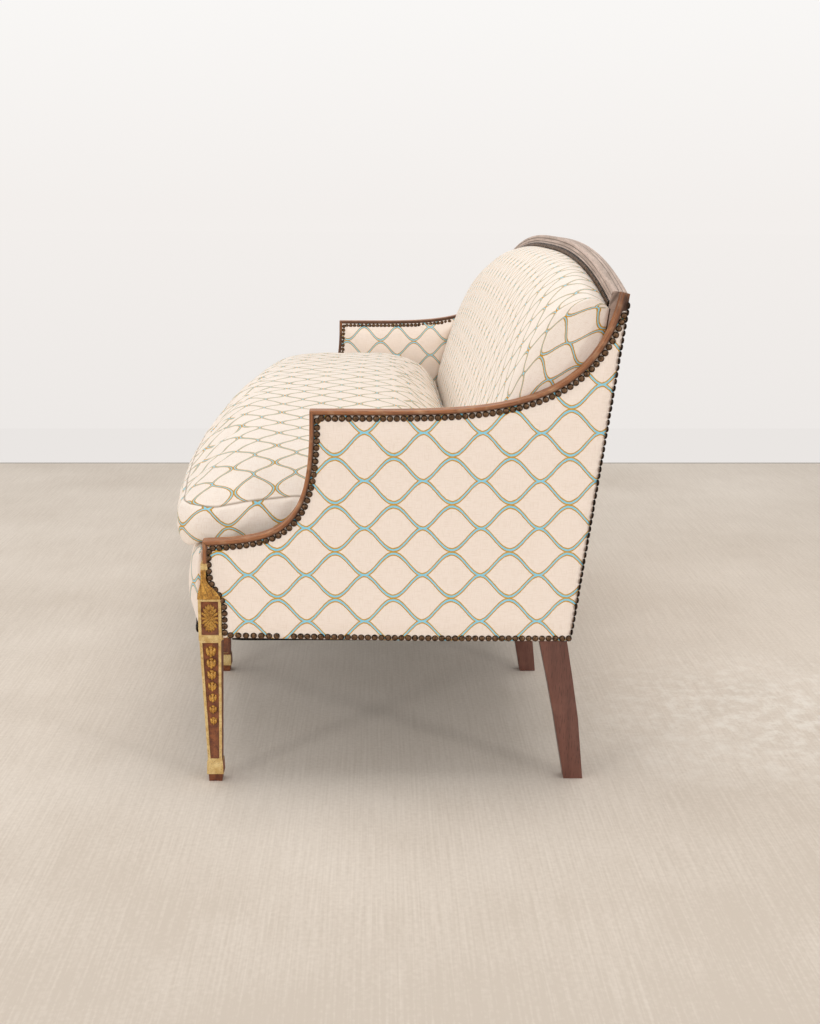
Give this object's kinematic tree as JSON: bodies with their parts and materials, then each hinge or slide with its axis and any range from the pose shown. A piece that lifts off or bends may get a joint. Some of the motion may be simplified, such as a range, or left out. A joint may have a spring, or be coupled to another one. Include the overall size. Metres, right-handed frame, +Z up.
{
  "type": "camelback sofa",
  "caption": "Camelback sofa with a bowed front, moulded show-wood arm and crest rails, panelled tapering front legs, tight arms and back, and a loose bench cushion.",
  "frame": {"origin": "middle of the bounding box, on the floor under the feet", "axes": "+X along the sofa to the right as seen from the front, +Y from the front to the back, +Z up"},
  "size_m": [2, 0.8254, 0.9382],
  "materials": {
    "walnut_rail": "waxed, worn on the edges",
    "weathered_crest": "reeded, faded and dry",
    "gilt_leg": "painted cream and ochre with worn gilding on a red-brown ground",
    "mahogany_leg": "stained reddish brown, low sheen",
    "beech_frame": "planed, unfinished",
    "lattice_linen": "slubbed linen with a woven ogee lattice in aqua and ochre",
    "jute_webbing": "coarse woven webbing",
    "calico_deck": "plain calico over felt",
    "black_cambric": "thin glazed cotton",
    "antique_nail": "domed heads with a dark antique patina, worn bright on top"
  },
  "bodies": {
    "frame": {"front_seat_rail": "beech_frame", "back_seat_rail": "beech_frame", "right_end_seat_rail": "beech_frame", "left_end_seat_rail": "beech_frame", "right_seat_stretcher": "beech_frame", "left_seat_stretcher": "beech_frame", "right_front_corner_block": "beech_frame", "left_front_corner_block": "beech_frame", "right_back_corner_block": "beech_frame", "left_back_corner_block": "beech_frame", "right_front_corner_leg": "gilt_leg", "left_front_corner_leg": "gilt_leg", "right_front_inner_leg": "gilt_leg", "left_front_inner_leg": "gilt_leg", "right_back_post": "mahogany_leg", "left_back_post": "mahogany_leg", "right_back_inner_leg": "mahogany_leg", "left_back_inner_leg": "mahogany_leg", "right_back_upright": "beech_frame", "left_back_upright": "beech_frame", "crest_rail": "weathered_crest", "right_front_stile": "walnut_rail", "left_front_stile": "walnut_rail", "right_arm_swoop_rail": "walnut_rail", "left_arm_swoop_rail": "walnut_rail", "right_arm_top_rail": "walnut_rail", "left_arm_top_rail": "walnut_rail", "right_arm_tack_rail": "beech_frame", "left_arm_tack_rail": "beech_frame", "right_outside_arm_panel": "lattice_linen", "left_outside_arm_panel": "lattice_linen", "right_inside_arm_pad": "lattice_linen", "left_inside_arm_pad": "lattice_linen", "outside_back_panel": "lattice_linen", "front_border": "lattice_linen", "seat_deck": "calico_deck", "dust_cover": "black_cambric", "back_pad": "lattice_linen", "seat_strap_1": "jute_webbing", "seat_strap_2": "jute_webbing", "seat_strap_3": "jute_webbing", "seat_strap_4": "jute_webbing", "seat_strap_5": "jute_webbing", "seat_strap_6": "jute_webbing", "seat_strap_7": "jute_webbing", "seat_strap_8": "jute_webbing", "seat_strap_9": "jute_webbing", "seat_strap_10": "jute_webbing", "seat_strap_11": "jute_webbing", "seat_strap_12": "jute_webbing", "long_strap_1": "jute_webbing", "long_strap_2": "jute_webbing", "long_strap_3": "jute_webbing", "back_strap_1": "jute_webbing", "back_strap_2": "jute_webbing", "back_strap_3": "jute_webbing", "back_strap_4": "jute_webbing"},
    "cushion": {"seat_cushion": "lattice_linen"}
  },
  "joints": [
    {"name": "cushion_lift", "type": "slide", "parent": "frame", "child": "cushion", "axis": [0, -0.3, 0.9539], "range_m": [0, 0.6]}
  ]
}
